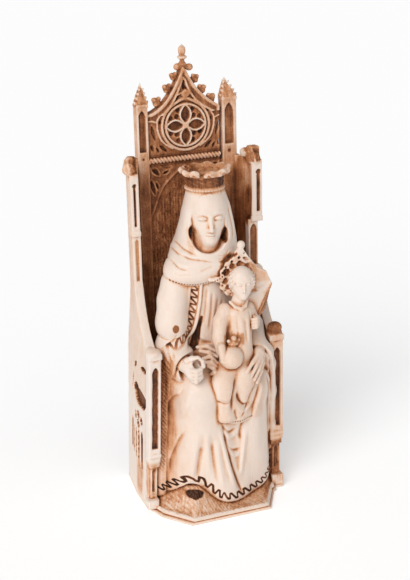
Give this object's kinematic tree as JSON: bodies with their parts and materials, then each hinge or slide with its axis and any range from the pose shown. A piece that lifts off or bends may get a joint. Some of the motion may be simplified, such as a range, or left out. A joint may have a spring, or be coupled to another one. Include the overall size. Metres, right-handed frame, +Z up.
{
  "type": "ivory virgin and child statuette",
  "caption": "Carved ivory statuette of the crowned Virgin holding the Child on her knee, seated on a Gothic throne with a gabled back.",
  "frame": {"origin": "centre of the footprint's bounding rectangle, on the plane that the base stands on", "axes": "+Z up along the throne, -Y the figures' front, +X to the viewer's right"},
  "size_m": [0.0991, 0.0837, 0.3],
  "materials": {
    "ivory": "aged ivory, satin, with brown patina in the recesses"
  },
  "bodies": {
    "root": {"virgin_and_child": "ivory"}
  },
  "joints": []
}
